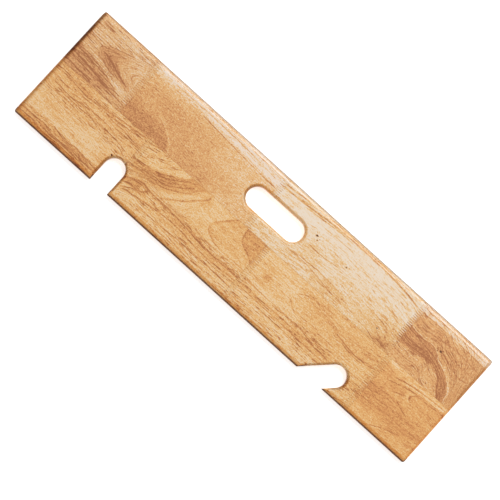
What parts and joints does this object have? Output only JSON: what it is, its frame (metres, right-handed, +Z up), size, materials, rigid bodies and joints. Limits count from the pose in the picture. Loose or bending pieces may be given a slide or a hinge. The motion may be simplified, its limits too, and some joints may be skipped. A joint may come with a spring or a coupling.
{
  "type": "transfer board",
  "caption": "Flat wooden transfer board with soft rounded edges, an oblong hand slot along one side, and a square and a slanted round-ended notch in the other.",
  "frame": {"origin": "middle of the board's underside", "axes": "+X along the board, +Y across it towards the long edge without notches, +Z up out of the sliding face"},
  "size_m": [0.77, 0.2, 0.018],
  "materials": {
    "wood_upper_1": "satin clear coat",
    "wood_upper_2": "satin clear coat",
    "wood_upper_3": "satin clear coat",
    "wood_upper_4": "satin clear coat",
    "wood_lower_1": "satin clear coat",
    "wood_lower_2": "satin clear coat",
    "wood_lower_3": "satin clear coat",
    "wood_lower_4": "satin clear coat"
  },
  "bodies": {
    "root": {"upper_stave_block_1": "wood_upper_1", "upper_stave_block_2": "wood_upper_2", "upper_stave_block_3": "wood_upper_3", "upper_stave_block_4": "wood_upper_4", "lower_stave_block_1": "wood_lower_1", "lower_stave_block_2": "wood_lower_2", "lower_stave_block_3": "wood_lower_3", "lower_stave_block_4": "wood_lower_4"}
  },
  "joints": []
}
